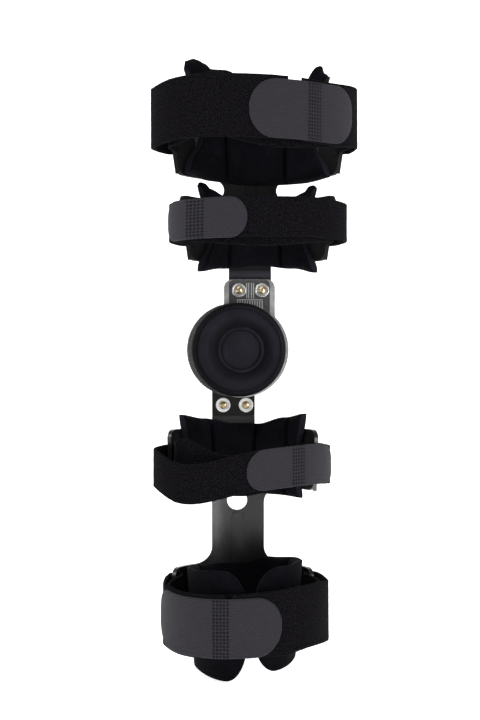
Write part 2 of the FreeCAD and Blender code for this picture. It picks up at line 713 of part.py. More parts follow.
def build():
    parts = {
        "thigh_shell": thigh_shell(),
        "calf_shell": calf_shell(),
        "inner_hinge_plate": inner_hinge_plate(),
        "ribbed_insert": ribbed_insert(),
        "thigh_arm": thigh_arm(),
        "calf_arm": calf_arm(),
        "outer_cover": outer_cover(),
        "dial_ring": dial_ring(),
        "pivot_pin": pivot_pin(),
        "pivot_cap": pivot_cap(),
        "pivot_bush": pivot_bush(),
        "thrust_washers": thrust_washers(),
        "neck_rivet": neck_rivet(),
        "condyle_pad_front": condyle_pad(),
        "condyle_pad_base": pad_base(),
        "condyle_pad_hook_disc": pad_hook_disc(),
    }
    for stop, (setting, _) in stop_travel().items():
        parts[stop + "_stop_slider"] = stop_slider(setting)
        parts[stop + "_stop_button"] = stop_button(setting)
        parts[stop + "_stop_spring"] = stop_spring(setting)
    groups = fasteners(THIGH_SCREWS, INSERT_Y[0], THIGH_ARM_Y[1])
    for kind, group in zip(("cup_washers", "screws", "nuts"), groups):
        parts["thigh_" + kind] = group
    groups = fasteners(CALF_SCREWS, CALF_ARM_Y[0], CALF_SHELL_Y[1])
    for kind, group in zip(("cup_washers", "screws", "nuts"), groups):
        parts["calf_" + kind] = group
    for name in LINERS:
        parts[name] = liner(name)
        parts[name.replace("liner", "hook_patches")] = hook_patches(name)
    for name in STRAPS:
        parts[name] = strap(name)
        parts[name.replace("strap", "tab")] = tab(name)
    return parts


def export(parts):
    os.makedirs("parts", exist_ok=True)
    for name, shape in parts.items():
        shape.exportStep("parts/" + name + ".step")
        if not shape.isValid() or shape.Volume <= 0:
            print("not valid:", name, shape.Volume)


export(build())
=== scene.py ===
import math
import bpy
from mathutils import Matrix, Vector, noise


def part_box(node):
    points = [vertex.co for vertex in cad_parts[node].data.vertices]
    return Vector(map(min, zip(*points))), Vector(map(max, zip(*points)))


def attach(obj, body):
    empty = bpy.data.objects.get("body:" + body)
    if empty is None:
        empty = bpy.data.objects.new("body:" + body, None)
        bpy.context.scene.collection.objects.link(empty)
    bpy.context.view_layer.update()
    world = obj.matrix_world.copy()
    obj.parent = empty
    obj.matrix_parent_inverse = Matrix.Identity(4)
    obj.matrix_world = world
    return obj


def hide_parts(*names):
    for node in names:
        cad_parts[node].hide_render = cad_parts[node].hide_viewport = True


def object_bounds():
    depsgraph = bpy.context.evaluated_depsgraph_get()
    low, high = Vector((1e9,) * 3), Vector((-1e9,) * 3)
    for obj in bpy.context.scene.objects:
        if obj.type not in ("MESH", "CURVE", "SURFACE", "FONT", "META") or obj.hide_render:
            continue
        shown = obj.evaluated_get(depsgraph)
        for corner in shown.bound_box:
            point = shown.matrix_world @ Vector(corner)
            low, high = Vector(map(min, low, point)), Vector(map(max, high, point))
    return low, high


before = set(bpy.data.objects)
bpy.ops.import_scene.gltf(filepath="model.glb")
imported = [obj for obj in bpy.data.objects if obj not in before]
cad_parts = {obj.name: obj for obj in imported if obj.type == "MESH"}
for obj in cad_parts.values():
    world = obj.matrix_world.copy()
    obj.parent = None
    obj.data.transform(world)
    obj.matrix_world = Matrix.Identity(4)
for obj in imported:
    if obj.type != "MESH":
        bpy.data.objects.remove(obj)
cad_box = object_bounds()

MM = 0.001

# ---------------------------------------------------------------- camera, light, stage

CAMERA_AT = Vector((-0.0009, -1.10, -0.0088))
CAMERA_LENS = 62.5
FLOOR_Z = cad_box[0][2] - 0.004
WORLD_STRENGTH = 0.22
STAGE_GLOW = 0.85

# name: place in metres, (width, height) in metres, watts; each one faces the origin
LAMPS = {
    "key": ((-0.85, -0.95, 1.25), (0.6, 0.6), 15),
    "fill": ((1.1, -1.1, 0.1), (0.35, 1.0), 13),
    "left_rim": ((-1.2, 0.3, 0.3), (0.3, 1.4), 2.5),
    "right_rim": ((1.2, 0.4, 0.4), (0.3, 1.4), 2.5),
    "top": ((0.0, -0.3, 1.5), (0.8, 0.8), 7),
}


def make_camera():
    data = bpy.data.cameras.new("camera")
    data.lens = CAMERA_LENS
    data.dof.use_dof = False
    camera = bpy.data.objects.new("camera", data)
    camera.location = CAMERA_AT
    camera.rotation_euler = (math.radians(90), 0, 0)
    bpy.context.collection.objects.link(camera)
    bpy.context.scene.camera = camera


def area_light(name, at, size, power):
    data = bpy.data.lights.new(name, "AREA")
    data.shape = "RECTANGLE"
    data.size, data.size_y = size
    data.energy = power
    lamp = bpy.data.objects.new(name, data)
    lamp.location = at
    lamp.rotation_euler = (-Vector(at)).to_track_quat("-Z", "Y").to_euler()
    bpy.context.collection.objects.link(lamp)


def make_lights():
    for name, (at, size, power) in LAMPS.items():
        area_light(name, at, size, power)
    world = bpy.data.worlds.new("studio")
    world.use_nodes = True
    back = world.node_tree.nodes["Background"]
    back.inputs["Color"].default_value = (1.0, 1.0, 1.0, 1.0)
    back.inputs["Strength"].default_value = WORLD_STRENGTH
    bpy.context.scene.world = world
    bpy.context.scene.view_settings.view_transform = "Standard"


def make_stage():
    """A pale sweep: a floor that bends up into a wall behind."""
    material = bpy.data.materials.new("stage_white")
    material.use_nodes = True
    shader = material.node_tree.nodes["Principled BSDF"]
    shader.inputs["Base Color"].default_value = (0.92, 0.92, 0.92, 1)
    shader.inputs["Roughness"].default_value = 0.9
    shader.inputs["Emission Color"].default_value = (1, 1, 1, 1)
    shader.inputs["Emission Strength"].default_value = STAGE_GLOW
    half = 4.0
    back, front, bend, steps = 2.2, -4.0, 0.8, 12
    outline = [(front, FLOOR_Z)]
    for i in range(steps + 1):
        a = math.radians(90 * i / steps)
        outline.append((back - bend + bend * math.sin(a), FLOOR_Z + bend - bend * math.cos(a)))
    outline.append((back, FLOOR_Z + 4.0))
    verts = [(side * half, y, z) for y, z in outline for side in (-1, 1)]
    faces = [(2 * i, 2 * i + 1, 2 * i + 3, 2 * i + 2) for i in range(len(outline) - 1)]
    sweep = mesh_object("studio_sweep", verts, faces, material)


# ---------------------------------------------------------------- mesh helpers

def mesh_object(name, verts, faces, material, flat=None):
    mesh = bpy.data.meshes.new(name)
    mesh.from_pydata([tuple(v) for v in verts], [], faces)
    mesh.update()
    for polygon in mesh.polygons:
        polygon.use_smooth = True
    if flat is not None:
        layer = mesh.attributes.new("flat", "FLOAT_VECTOR", "POINT")
        for i, cell in enumerate(flat):
            layer.data[i].vector = cell
    mesh.materials.append(material)
    piece = bpy.data.objects.new(name, mesh)
    bpy.context.collection.objects.link(piece)
    return piece


def smooth_step(x):
    x = min(1.0, max(0.0, x))
    return x * x * (3 - 2 * x)


def round_profile(share):
    """A quarter circle's height at a share of the way in from the edge."""
    return math.sqrt(max(0.0, 1 - (1 - min(1.0, share)) ** 2))


def spline_points(controls, step):
    """Even points along a centripetal Catmull-Rom curve through the controls."""
    points = [controls[0] * 2 - controls[1]] + controls + [controls[-1] * 2 - controls[-2]]
    dense = []
    for i in range(1, len(points) - 2):
        p0, p1, p2, p3 = points[i - 1], points[i], points[i + 1], points[i + 2]
        t0 = 0.0
        t1 = t0 + max(1e-6, (p1 - p0).length ** 0.5)
        t2 = t1 + max(1e-6, (p2 - p1).length ** 0.5)
        t3 = t2 + max(1e-6, (p3 - p2).length ** 0.5)
        count = 14
        for k in range(count):
            t = t1 + (t2 - t1) * k / count
            a1 = p0.lerp(p1, (t - t0) / (t1 - t0))
            a2 = p1.lerp(p2, (t - t1) / (t2 - t1))
            a3 = p2.lerp(p3, (t - t2) / (t3 - t2))
            b1 = a1.lerp(a2, (t - t0) / (t2 - t0))
            b2 = a2.lerp(a3, (t - t1) / (t3 - t1))
            dense.append(b1.lerp(b2, (t - t1) / (t2 - t1)))
    dense.append(points[-2])
    even = [dense[0]]
    left = step
    for a, b in zip(dense, dense[1:]):
        run = (b - a).length
        gone = 0.0
        while run - gone >= left:
            gone += left
            even.append(a.lerp(b, gone / run))
            left = step
        left -= run - gone
    return even


def closed_grid(name, front, back, material, flat=None, side_material=None):
    """A closed sheet from two grids of the same size: faces on both, and a rim round them."""
    rows, cols = len(front), len(front[0])
    verts = [p for row in front for p in row] + [p for row in back for p in row]
    total = rows * cols
    faces = []

    def at(i, j, side):
        return side * total + i * cols + j

    for i in range(rows - 1):
        for j in range(cols - 1):
            faces.append((at(i, j, 0), at(i, j + 1, 0), at(i + 1, j + 1, 0), at(i + 1, j, 0)))
            faces.append((at(i, j, 1), at(i + 1, j, 1), at(i + 1, j + 1, 1), at(i, j + 1, 1)))
    rim = [(0, j) for j in range(cols)]
    rim += [(i, cols - 1) for i in range(1, rows)]
    rim += [(rows - 1, j) for j in range(cols - 2, -1, -1)]
    rim += [(i, 0) for i in range(rows - 2, 0, -1)]
    sides = []
    for a, b in zip(rim, rim[1:] + rim[:1]):
        if a[1] == b[1]:
            sides.append(len(faces))
        faces.append((at(*a, 0), at(*a, 1), at(*b, 1), at(*b, 0)))
    spread = None
    if flat is not None:
        cells = [cell for row in flat for cell in row]
        spread = cells + cells
    piece = mesh_object(name, verts, faces, material, spread)
    if side_material is not None:
        piece.data.materials.append(side_material)
        for index in sides:
            piece.data.polygons[index].material_index = 1
            piece.data.polygons[index].use_smooth = False
    return piece


# ---------------------------------------------------------------- material helpers

class Finish:
    """A Principled material and the nodes that vary it over the surface."""

    def __init__(self, name, roughness=0.6, metallic=0.0, coords="object"):
        self.material = bpy.data.materials.new(name)
        self.material.use_nodes = True
        self.tree = self.material.node_tree
        self.shader = self.tree.nodes["Principled BSDF"]
        self.shader.inputs["Roughness"].default_value = roughness
        self.shader.inputs["Metallic"].default_value = metallic
        if coords == "flat":
            node = self.tree.nodes.new("ShaderNodeAttribute")
            node.attribute_name = "flat"
            self.coords = node.outputs["Vector"]
        else:
            self.coords = self.tree.nodes.new("ShaderNodeTexCoord").outputs["Object"]

    def set(self, name, value):
        self.shader.inputs[name].default_value = value
        return self

    def link(self, a, b):
        self.tree.links.new(a, b)

    def noise(self, scale, detail=3.0, rough=0.55, stretch=None):
        node = self.tree.nodes.new("ShaderNodeTexNoise")
        node.inputs["Scale"].default_value = scale
        node.inputs["Detail"].default_value = detail
        node.inputs["Roughness"].default_value = rough
        self.link(self.stretched(stretch), node.inputs["Vector"])
        return node.outputs["Fac"]

    def cells(self, scale):
        node = self.tree.nodes.new("ShaderNodeTexVoronoi")
        node.inputs["Scale"].default_value = scale
        self.link(self.coords, node.inputs["Vector"])
        return node.outputs["Distance"]

    def stretched(self, stretch):
        if stretch is None:
            return self.coords
        node = self.tree.nodes.new("ShaderNodeMapping")
        node.inputs["Scale"].default_value = stretch
        self.link(self.coords, node.inputs["Vector"])
        return node.outputs["Vector"]

    def axis(self, index):
        node = self.tree.nodes.new("ShaderNodeSeparateXYZ")
        self.link(self.coords, node.inputs["Vector"])
        return node.outputs[index]

    def math(self, operation, a, b=None):
        node = self.tree.nodes.new("ShaderNodeMath")
        node.operation = operation
        for slot, value in enumerate((a, b)):
            if value is None:
                continue
            if isinstance(value, (int, float)):
                node.inputs[slot].default_value = value
            else:
                self.link(value, node.inputs[slot])
        return node.outputs["Value"]

    def wave(self, index, pitch, phase=0.0):
        """A sine along one coordinate, from 0 to 1, with that coordinate's pitch."""
        turns = self.math("ADD", self.math("MULTIPLY", self.axis(index), 2 * math.pi / pitch), phase)
        return self.math("ADD", self.math("MULTIPLY", self.math("SINE", turns), 0.5), 0.5)

    def diagonal_wave(self, pitch):
        """A sine along the diagonal of the first two coordinates, from 0 to 1."""
        both = self.math("ADD", self.axis(0), self.axis(1))
        turns = self.math("MULTIPLY", both, 2 * math.pi / pitch)
        return self.math("ADD", self.math("MULTIPLY", self.math("SINE", turns), 0.5), 0.5)

    def axis_distance(self, scale):
        """The distance from the hinge's axis, times a scale."""
        x, z = self.axis(0), self.axis(2)
        square = self.math("ADD", self.math("MULTIPLY", x, x), self.math("MULTIPLY", z, z))
        return self.math("MULTIPLY", self.math("SQRT", square), scale)

    def ramp(self, value, stops):
        node = self.tree.nodes.new("ShaderNodeValToRGB")
        ramp = node.color_ramp
        while len(ramp.elements) < len(stops):
            ramp.elements.new(0.5)
        for element, (at, colour) in zip(ramp.elements, stops):
            element.position = at
            element.color = (*colour, 1.0)
        self.link(value, node.inputs["Fac"])
        return node.outputs["Color"]

    def colour(self, value, stops):
        self.link(self.ramp(value, stops), self.shader.inputs["Base Color"])
        return self

    def rough(self, value, low, high):
        """Roughness between two levels."""
        node = self.tree.nodes.new("ShaderNodeMapRange")
        node.inputs["To Min"].default_value = low
        node.inputs["To Max"].default_value = high
        self.link(value, node.inputs["Value"])
        self.link(node.outputs["Result"], self.shader.inputs["Roughness"])
        return self

    def bump(self, value, height, strength):
        """Adds a bump of a height in metres on top of any earlier one."""
        node = self.tree.nodes.new("ShaderNodeBump")
        node.inputs["Distance"].default_value = height
        node.inputs["Strength"].default_value = strength
        self.link(value, node.inputs["Height"])
        normal = self.shader.inputs["Normal"]
        if normal.links:
            self.link(normal.links[0].from_socket, node.inputs["Normal"])
        self.link(node.outputs["Normal"], normal)
        return self


def grey(level, tint=(1.0, 1.0, 1.0)):
    return tuple(level * t for t in tint)


# Tints of the cloths and webbing, and sizes in millimetres that the finishes share with the meshes
COOL = (0.99, 0.93, 1.36)
WARM = (1.05, 0.96, 1.22)
WELD_COLUMNS = 5
WELD_PITCH = 2.7
LIT_STEP_TOP = 69.5
PAD_SHADE_R = 43.0


def loop_webbing():
    """Brushed loop pile: dark, matt, with pale fibre tips."""
    f = Finish("strap_loop_pile", roughness=0.95, coords="flat")
    f.set("Sheen Weight", 0.008).set("Sheen Roughness", 0.4).set("Specular IOR Level", 0.03)
    f.set("Sheen Tint", (0.75, 0.70, 0.80, 1))
    pile = f.noise(2000, 4.0, 0.8)
    tufts = f.noise(800, 2.0, 0.5)
    both = f.math("MULTIPLY", pile, f.math("ADD", f.math("MULTIPLY", tufts, 0.9), 0.55))
    f.colour(both, [(0.36, grey(0.0005, WARM)), (0.50, grey(0.0018, WARM)), (0.63, grey(0.015, WARM))])
    f.bump(tufts, 0.0004, 0.5)
    return f.bump(pile, 0.0004, 0.9).material


def hook_weave():
    """Woven hook tape: rows of hooks between ribs, slightly shiny."""
    f = Finish("tab_hook_weave", roughness=0.55, coords="flat")
    f.set("Sheen Weight", 0.01).set("Specular IOR Level", 0.12)
    slant = f.diagonal_wave(0.0019)
    rows = f.wave(1, 0.0015)
    hooks = f.math("MULTIPLY", slant, f.math("ADD", f.math("MULTIPLY", rows, 0.6), 0.4))
    wear = f.noise(420, 4.0, 0.65)
    woven = f.math("ADD", f.math("MULTIPLY", hooks, 0.55), f.math("MULTIPLY", wear, 0.50))
    in_band = f.math("LESS_THAN", f.math("ABSOLUTE", f.axis(2)), WELD_COLUMNS / 2)
    pits = f.math("MULTIPLY", f.wave(2, 1.0, math.pi / 2), f.wave(1, WELD_PITCH * MM, math.pi / 2))
    dark = f.math("MULTIPLY", in_band, f.math("MINIMUM", f.math("MULTIPLY", pits, 1.7), 0.92))
    tone = f.math("MULTIPLY", woven, f.math("SUBTRACT", 1.0, dark))
    f.colour(tone, [(0.04, grey(0.003, WARM)), (0.18, grey(0.010, WARM)), (0.45, grey(0.021, WARM)),
                    (0.80, grey(0.048, WARM))])
    f.rough(wear, 0.50, 0.75)
    f.bump(hooks, 0.0005, 0.9)
    return f.bump(f.noise(2000, 2.0), 0.00015, 0.5).material


def liner_cloth():
    """Brushed jersey over foam."""
    f = Finish("liner_jersey", roughness=0.9)
    f.set("Sheen Weight", 0.005).set("Sheen Roughness", 0.5).set("Sheen Tint", (0.7, 0.7, 0.9, 1))
    f.set("Specular IOR Level", 0.03)
    knit = f.noise(1700, 3.0, 0.7)
    shade = f.noise(55, 4.0, 0.6)
    mix = f.math("ADD", f.math("MULTIPLY", knit, 0.5), f.math("MULTIPLY", shade, 0.5))
    f.colour(mix, [(0.30, grey(0.0016, COOL)), (0.55, grey(0.0040, COOL)), (0.75, grey(0.0095, COOL))])
    f.bump(shade, 0.0008, 0.35)
    return f.bump(knit, 0.00025, 0.8).material


def liner_edge():
    """The cut side of a liner: foam between two cloths, paler than the cloth."""
    f = Finish("liner_cut_edge", roughness=0.9)
    f.set("Specular IOR Level", 0.08)
    pores = f.noise(1500, 3.0, 0.7)
    f.colour(pores, [(0.30, grey(0.005, COOL)), (0.55, grey(0.011, COOL)), (0.80, grey(0.024, COOL))])
    return f.bump(pores, 0.0003, 0.9).material


def pad_cloth():
    """Smooth knit drawn over moulded foam, with painted shade beside the ring and along the rim and a
    painted highlight on the ring.
    """
    f = Finish("pad_knit", roughness=0.72)
    f.set("Sheen Weight", 0.004).set("Sheen Roughness", 0.4).set("Specular IOR Level", 0.08)
    f.set("Sheen Tint", (0.7, 0.7, 0.9, 1))
    weave = f.math("MULTIPLY", f.wave(0, 0.00075), f.wave(2, 0.00075))
    shade = f.noise(40, 5.0, 0.6)
    mix = f.math("ADD", f.math("MULTIPLY", weave, 0.35), f.math("MULTIPLY", shade, 0.65))
    # Painted light and shade in rings round the hinge's axis: dark just inside and outside the raised
    # ring and along the rounded rim, brightest on the ring.
    painted_shade_rings = f.ramp(f.axis_distance(1.0 / (PAD_SHADE_R * MM)),
                  [(0.0, grey(0.85)), (0.36, grey(0.80)), (0.395, grey(0.30)),
                   (0.42, grey(1.0)), (0.45, grey(0.95)), (0.475, grey(0.14)),
                   (0.56, grey(0.36)), (0.68, grey(0.75)), (0.84, grey(0.62)),
                   (0.89, grey(0.20)), (1.0, grey(0.26))])
    f.colour(f.math("MULTIPLY", mix, painted_shade_rings),
             [(0.03, grey(0.0016, COOL)), (0.16, grey(0.0042, COOL)), (0.36, grey(0.0115, COOL)),
              (0.60, grey(0.0230, COOL))])
    f.rough(shade, 0.55, 0.78)
    f.bump(shade, 0.0005, 0.25)
    return f.bump(weave, 0.00018, 0.6).material


def pad_pile():
    """Coarse grey-black pile on the side of the pad's base, coloured paler than the pile alone to
    paint in light from the left.
    """
    f = Finish("pad_side_pile_and_painted_light", roughness=0.95)
    f.set("Sheen Weight", 0.06).set("Sheen Roughness", 0.4).set("Specular IOR Level", 0.2)
    pile = f.noise(1100, 4.0, 0.8)
    # Partly the pile's own grey, partly painted light: the upper levels are raised for the light that
    # falls on this side from the left.
    f.colour(pile, [(0.32, grey(0.020)), (0.50, grey(0.060)), (0.68, grey(0.20))])
    return f.bump(pile, 0.0007, 1.0).material


def moulded_plastic():
    """Dark, slightly green glossy plastic with flow marks and fine scuffs."""
    f = Finish("moulded_shell", roughness=0.3)
    f.set("Specular IOR Level", 0.50).set("Coat Weight", 0.05).set("Coat Roughness", 0.15)
    flow = f.noise(14, 5.0, 0.6, (1.0, 1.0, 0.35))
    scuffs = f.noise(900, 3.0, 0.7, (1.0, 1.0, 0.12))
    f.colour(flow, [(0.30, (0.004, 0.0045, 0.0042)), (0.60, (0.008, 0.0088, 0.0084)),
                    (0.85, (0.016, 0.0175, 0.0165))])
    f.rough(scuffs, 0.22, 0.38)
    f.bump(flow, 0.0010, 0.18)
    return f.bump(scuffs, 0.00004, 0.5).material


def dull_moulding():
    """The thigh shell's duller plastic, with a painted highlight: paler below the step where the hinge
    plate ends, for the step's lit face.
    """
    f = Finish("dull_shell", roughness=0.55)
    f.set("Specular IOR Level", 0.12)
    flow = f.noise(14, 5.0, 0.6, (1.0, 1.0, 0.35))
    # Painted highlight: the shell is paler below this height, standing for the lit face of the step at
    # the foot of its tongue.
    painted_step_highlight = f.math("MULTIPLY", f.math("LESS_THAN", f.axis(2), LIT_STEP_TOP * MM), 0.36)
    f.colour(f.math("ADD", f.math("MULTIPLY", flow, 0.6), painted_step_highlight),
             [(0.18, grey(0.0042, COOL)), (0.38, grey(0.0095)), (0.50, grey(0.016)),
              (0.85, grey(0.050, COOL))])
    f.rough(flow, 0.50, 0.70)
    return f.bump(flow, 0.0010, 0.18).material


def stippled_plastic():
    """Stippled grey plastic whose proud ribs are coloured paler than the ground between them."""
    f = Finish("stippled_insert", roughness=0.5)
    stipple = f.cells(1500)
    shade = f.noise(420, 4.0, 0.7)
    rib_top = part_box("ribbed_insert")[0][1] + 0.35 * MM
    proud = f.math("MULTIPLY", f.math("LESS_THAN", f.axis(1), rib_top), 0.5)
    ground = f.math("ADD", f.math("MULTIPLY", stipple, 0.2), f.math("MULTIPLY", shade, 0.35))
    f.colour(f.math("ADD", ground, proud),
             [(0.12, grey(0.012)), (0.30, grey(0.036)), (0.50, grey(0.09)), (0.62, grey(0.18)),
              (0.90, grey(0.40))])
    f.rough(shade, 0.35, 0.65)
    return f.bump(stipple, 0.00025, 0.8).material


def satin_plastic(name, level, tint=(1, 1, 1)):
    f = Finish(name, roughness=0.45)
    grain = f.cells(1300)
    shade = f.noise(60, 4.0)
    f.colour(shade, [(0.3, grey(level * 0.8, tint)), (0.7, grey(level * 1.25, tint))])
    f.rough(shade, 0.38, 0.55)
    return f.bump(grain, 0.00008, 0.6).material


def aluminium():
    f = Finish("satin_aluminium", roughness=0.38, metallic=1.0)
    grain = f.noise(1400, 3.0, 0.7, (0.08, 1.0, 1.0))
    wear = f.noise(90, 5.0, 0.65)
    f.colour(wear, [(0.3, grey(0.38)), (0.6, grey(0.56)), (0.85, grey(0.74))])
    f.rough(wear, 0.26, 0.45)
    return f.bump(grain, 0.00004, 0.7).material


def brushed(name, level, roughness=0.3, tint=(1, 1, 1)):
    f = Finish(name, roughness=roughness, metallic=1.0)
    grain = f.noise(1600, 3.0, 0.7, (1.0, 1.0, 0.06))
    wear = f.noise(120, 4.0, 0.6)
    f.colour(wear, [(0.3, grey(level * 0.8, tint)), (0.75, grey(level * 1.15, tint))])
    f.rough(grain, roughness * 0.8, roughness * 1.5)
    return f.bump(grain, 0.00003, 0.7).material


def coated_black():
    """Black coating over steel, rub-marked a little along its length."""
    f = Finish("black_coating", roughness=0.4)
    f.set("Specular IOR Level", 0.22).set("Coat Weight", 0.02).set("Coat Roughness", 0.3)
    orange_peel = f.cells(700)
    rub = f.noise(600, 4.0, 0.7, (1.0, 1.0, 0.05))
    f.colour(rub, [(0.35, grey(0.004)), (0.62, grey(0.008)), (0.85, grey(0.022))])
    f.rough(rub, 0.30, 0.5)
    return f.bump(orange_peel, 0.00006, 0.6).material


def hook_patch():
    f = Finish("hook_patch", roughness=0.8)
    hooks = f.cells(900)
    f.colour(hooks, [(0.1, grey(0.008)), (0.6, grey(0.03))])
    return f.bump(hooks, 0.0006, 1.0).material


def build_materials():
    warm_brass = (1.0, 0.80, 0.50)
    return {
        "strap": loop_webbing(),
        "tab": hook_weave(),
        "liner": liner_cloth(),
        "liner_edge": liner_edge(),
        "pad": pad_cloth(),
        "pad_side": pad_pile(),
        "shell": moulded_plastic(),
        "dull_shell": dull_moulding(),
        "insert": stippled_plastic(),
        "plate": aluminium(),
        "bar": brushed("brushed_bar", 0.42, 0.34),
        "black": coated_black(),
        "cover": satin_plastic("cover_plastic", 0.022),
        "dial": satin_plastic("dial_plastic", 0.30),
        "slider": satin_plastic("slider_plastic", 0.06),
        "button": satin_plastic("button_plastic", 0.30, (1.0, 0.10, 0.08)),
        "steel": brushed("turned_steel", 0.55, 0.25),
        "washer": brushed("turned_washer", 0.62, 0.24),
        "pale_washer": satin_plastic("pale_washer", 0.85),
        "brass": brushed("plated_brass", 0.62, 0.28, warm_brass),
        "bronze": brushed("sintered_bronze", 0.45, 0.4, (1.0, 0.72, 0.42)),
        "hook": hook_patch(),
    }


# ---------------------------------------------------------------- the cuffs' geometry

# The same sizes as in the CAD model, in millimetres
SHELL_T = 3.5
WING_DEG = 70.0
TIP_BAR = 6.0
LEG_PARTS = {
    # centre X, back Y, (low Z, high Z), (low radius, high radius), all in millimetres
    "thigh": (14.0, 2.0, (76.0, 221.0), (63.0, 84.75)),
    "calf": (1.5, 4.8, (-248.0, -68.0), (62.5, 68.5)),
}


def shell_radius(part, z):
    _, _, heights, radii = LEG_PARTS[part]
    share = (z - heights[0]) / (heights[1] - heights[0])
    return radii[0] + share * (radii[1] - radii[0])


def on_shell(part, degrees, z, inset):
    """A point set in from the outer face of a shell, in metres."""
    x, back, _, _ = LEG_PARTS[part]
    radius = shell_radius(part, z)
    a = math.radians(degrees)
    r = radius - inset
    return Vector((x + r * math.sin(a), back - radius + r * math.cos(a), z)) * MM


def tip_turn(part, side, z, radius, count=5):
    """Points round a wing's tip bar, from outside through the slot to inside."""
    mid = shell_radius(part, z) - SHELL_T / 2
    half_bar = math.degrees(TIP_BAR / 2 / mid)
    degrees = side * (WING_DEG - half_bar)
    a = math.radians(degrees)
    out = Vector((math.sin(a), math.cos(a), 0))
    along = Vector((-math.cos(a), math.sin(a), 0)) * side
    centre = on_shell(part, degrees, z, SHELL_T / 2) / MM
    points = []
    for i in range(count):
        turn = math.pi * i / (count - 1)
        points.append(centre + out * (radius * math.cos(turn)) + along * (radius * math.sin(turn)))
    return points


# ---------------------------------------------------------------- straps

# Sizes in millimetres; the tab's nose is a share of its half height
WEB_T = 2.2
EYE_R = 5.3
STRAP_GRID = 1.6
TAB_HALF_T = 0.72
TAB_GRID = 0.75
TAB_STEPS = 60
TAB_OFFSET = WEB_T + 0.3 + 0.75
TAB_RIM = 1.2
TAB_NOSE = 0.92
WELD_DEPTH = 0.62
WELD_RAISED = 0.12
FOLD_DEG = 92
STRAP_CLEAR = 2.5


def bump_sum(bumps, degrees):
    """A sum of bell curves: each has a height, a middle and a spread in degrees."""
    return sum(h * math.exp(-((degrees - m) / s) ** 2) for h, m, s in bumps)


